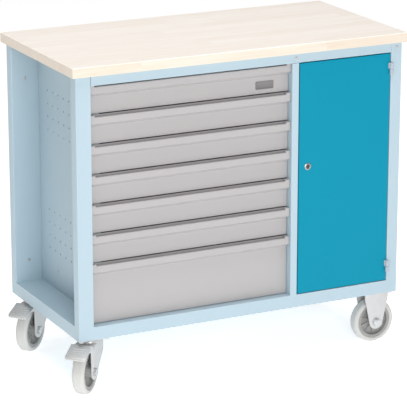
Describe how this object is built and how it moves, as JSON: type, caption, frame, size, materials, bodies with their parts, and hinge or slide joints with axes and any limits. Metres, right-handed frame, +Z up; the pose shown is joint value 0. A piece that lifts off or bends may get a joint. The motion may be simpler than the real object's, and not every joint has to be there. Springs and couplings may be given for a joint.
{
  "type": "workbench with drawers",
  "caption": "Mobile workbench with a wooden top, a bank of drawers beside a cupboard with a hinged door, a peg-wall niche at one end and braked swivel casters.",
  "frame": {"origin": "on the floor under the middle of the whole bench's footprint, casters and brake pedals included", "axes": "+X to the right of someone facing the drawers, +Y from the front to the back, +Z up"},
  "size_m": [1.0432, 0.539, 0.901],
  "materials": {
    "bench_wood": "clear satin lacquer on pale beech",
    "frame_paint": "pale blue-grey powder coat",
    "door_paint": "blue powder coat",
    "drawer_front_paint": "warm grey powder coat",
    "drawer_box_paint": "grey powder coat",
    "hinge_paint": "pale blue-grey powder coat",
    "plated_steel": "bright zinc plate",
    "fork_steel": "bright zinc plate",
    "lock_metal": "dull nickel",
    "badge_metal": "satin, blank",
    "rim_plastic": "mid grey nylon",
    "tyre_rubber": "pale grey non-marking rubber"
  },
  "bodies": {
    "carcass": {"worktop": "bench_wood", "base_pan": "frame_paint", "caster_channels": "frame_paint", "left_front_post": "frame_paint", "front_top_rail": "frame_paint", "top_stretchers": "frame_paint", "rear_panel": "frame_paint", "pegboard_panel": "frame_paint", "right_side_panel": "frame_paint", "partition_panel": "frame_paint", "cupboard_shelf": "frame_paint", "shelf_pins": "plated_steel", "assembly_screws": "plated_steel", "hinge_pins": "hinge_paint", "cabinet_runners": "plated_steel", "swivel_plates": "fork_steel", "fixed_forks": "fork_steel", "fixed_axles": "plated_steel", "caster_bolts": "plated_steel"},
    "door": {"door_panel": "door_paint", "door_hinge_sleeves": "hinge_paint", "lock_housing": "lock_metal"},
    "lock": {"lock_plug": "lock_metal"},
    "drawer_1": {"drawer_1_box": "drawer_box_paint", "drawer_1_front": "drawer_front_paint", "badge_plate": "badge_metal"},
    "drawer_1_middle": {"drawer_1_slides": "plated_steel"},
    "drawer_2": {"drawer_2_box": "drawer_box_paint", "drawer_2_front": "drawer_front_paint"},
    "drawer_2_middle": {"drawer_2_slides": "plated_steel"},
    "drawer_3": {"drawer_3_box": "drawer_box_paint", "drawer_3_front": "drawer_front_paint"},
    "drawer_3_middle": {"drawer_3_slides": "plated_steel"},
    "drawer_4": {"drawer_4_box": "drawer_box_paint", "drawer_4_front": "drawer_front_paint"},
    "drawer_4_middle": {"drawer_4_slides": "plated_steel"},
    "drawer_5": {"drawer_5_box": "drawer_box_paint", "drawer_5_front": "drawer_front_paint"},
    "drawer_5_middle": {"drawer_5_slides": "plated_steel"},
    "drawer_6": {"drawer_6_box": "drawer_box_paint", "drawer_6_front": "drawer_front_paint"},
    "drawer_6_middle": {"drawer_6_slides": "plated_steel"},
    "drawer_7": {"drawer_7_box": "drawer_box_paint", "drawer_7_front": "drawer_front_paint"},
    "drawer_7_middle": {"drawer_7_slides": "plated_steel"},
    "front_left_wheel": {"front_left_rim": "rim_plastic", "front_left_tyre": "tyre_rubber"},
    "front_left_swivel": {"front_left_fork": "fork_steel", "front_left_axle": "plated_steel"},
    "front_left_pedal": {"front_left_brake_pedal": "fork_steel"},
    "rear_left_wheel": {"rear_left_rim": "rim_plastic", "rear_left_tyre": "tyre_rubber"},
    "rear_left_swivel": {"rear_left_fork": "fork_steel", "rear_left_axle": "plated_steel"},
    "rear_left_pedal": {"rear_left_brake_pedal": "fork_steel"},
    "front_right_wheel": {"front_right_rim": "rim_plastic", "front_right_tyre": "tyre_rubber"},
    "rear_right_wheel": {"rear_right_rim": "rim_plastic", "rear_right_tyre": "tyre_rubber"}
  },
  "joints": [
    {"name": "door_hinge", "type": "hinge", "parent": "carcass", "child": "door", "pos_m": [0.47413, -0.22427, 0.519], "axis": [0, 0, 1], "range_deg": [0, 165]},
    {"name": "lock_turn", "type": "hinge", "parent": "door", "child": "lock", "pos_m": [0.21813, -0.21847, 0.555], "axis": [0, 1, 0], "range_deg": [0, 90]},
    {"name": "drawer_1_slide", "type": "slide", "parent": "carcass", "child": "drawer_1", "axis": [0, -1, 0], "range_m": [0, 0.36]},
    {"name": "drawer_1_middle_slide", "type": "slide", "parent": "carcass", "child": "drawer_1_middle", "axis": [0, -1, 0], "range_m": [0, 0.18]},
    {"name": "drawer_2_slide", "type": "slide", "parent": "carcass", "child": "drawer_2", "axis": [0, -1, 0], "range_m": [0, 0.36]},
    {"name": "drawer_2_middle_slide", "type": "slide", "parent": "carcass", "child": "drawer_2_middle", "axis": [0, -1, 0], "range_m": [0, 0.18]},
    {"name": "drawer_3_slide", "type": "slide", "parent": "carcass", "child": "drawer_3", "axis": [0, -1, 0], "range_m": [0, 0.36]},
    {"name": "drawer_3_middle_slide", "type": "slide", "parent": "carcass", "child": "drawer_3_middle", "axis": [0, -1, 0], "range_m": [0, 0.18]},
    {"name": "drawer_4_slide", "type": "slide", "parent": "carcass", "child": "drawer_4", "axis": [0, -1, 0], "range_m": [0, 0.36]},
    {"name": "drawer_4_middle_slide", "type": "slide", "parent": "carcass", "child": "drawer_4_middle", "axis": [0, -1, 0], "range_m": [0, 0.18]},
    {"name": "drawer_5_slide", "type": "slide", "parent": "carcass", "child": "drawer_5", "axis": [0, -1, 0], "range_m": [0, 0.36]},
    {"name": "drawer_5_middle_slide", "type": "slide", "parent": "carcass", "child": "drawer_5_middle", "axis": [0, -1, 0], "range_m": [0, 0.18]},
    {"name": "drawer_6_slide", "type": "slide", "parent": "carcass", "child": "drawer_6", "axis": [0, -1, 0], "range_m": [0, 0.36]},
    {"name": "drawer_6_middle_slide", "type": "slide", "parent": "carcass", "child": "drawer_6_middle", "axis": [0, -1, 0], "range_m": [0, 0.18]},
    {"name": "drawer_7_slide", "type": "slide", "parent": "carcass", "child": "drawer_7", "axis": [0, -1, 0], "range_m": [0, 0.36]},
    {"name": "drawer_7_middle_slide", "type": "slide", "parent": "carcass", "child": "drawer_7_middle", "axis": [0, -1, 0], "range_m": [0, 0.18]},
    {"name": "front_left_swivel_turn", "type": "hinge", "parent": "carcass", "child": "front_left_swivel", "pos_m": [-0.41687, -0.16847, 0.139], "axis": [0, 0, 1], "continuous": true},
    {"name": "front_left_wheel_spin", "type": "hinge", "parent": "front_left_swivel", "child": "front_left_wheel", "pos_m": [-0.43979, -0.19221, 0.0625], "axis": [0.7193, -0.6947, 0], "continuous": true},
    {"name": "front_left_pedal_press", "type": "hinge", "parent": "front_left_swivel", "child": "front_left_pedal", "pos_m": [-0.44466, -0.19724, 0.131], "axis": [0.7193, -0.6947, 0], "range_deg": [0, 12]},
    {"name": "rear_left_swivel_turn", "type": "hinge", "parent": "carcass", "child": "rear_left_swivel", "pos_m": [-0.41687, 0.20753, 0.139], "axis": [0, 0, 1], "continuous": true},
    {"name": "rear_left_wheel_spin", "type": "hinge", "parent": "rear_left_swivel", "child": "rear_left_wheel", "pos_m": [-0.44215, 0.18632, 0.0625], "axis": [0.6428, -0.766, 0], "continuous": true},
    {"name": "rear_left_pedal_press", "type": "hinge", "parent": "rear_left_swivel", "child": "rear_left_pedal", "pos_m": [-0.44751, 0.18182, 0.131], "axis": [0.6428, -0.766, 0], "range_deg": [0, 12]},
    {"name": "front_right_wheel_spin", "type": "hinge", "parent": "carcass", "child": "front_right_wheel", "pos_m": [0.45913, -0.16847, 0.0625], "axis": [0, -1, 0], "continuous": true},
    {"name": "rear_right_wheel_spin", "type": "hinge", "parent": "carcass", "child": "rear_right_wheel", "pos_m": [0.45913, 0.20753, 0.0625], "axis": [0, -1, 0], "continuous": true}
  ],
  "couplings": [
    {"joint": "drawer_1_middle_slide", "follows": "drawer_1_slide", "ratio": 0.5},
    {"joint": "drawer_2_middle_slide", "follows": "drawer_2_slide", "ratio": 0.5},
    {"joint": "drawer_3_middle_slide", "follows": "drawer_3_slide", "ratio": 0.5},
    {"joint": "drawer_4_middle_slide", "follows": "drawer_4_slide", "ratio": 0.5},
    {"joint": "drawer_5_middle_slide", "follows": "drawer_5_slide", "ratio": 0.5},
    {"joint": "drawer_6_middle_slide", "follows": "drawer_6_slide", "ratio": 0.5},
    {"joint": "drawer_7_middle_slide", "follows": "drawer_7_slide", "ratio": 0.5}
  ]
}
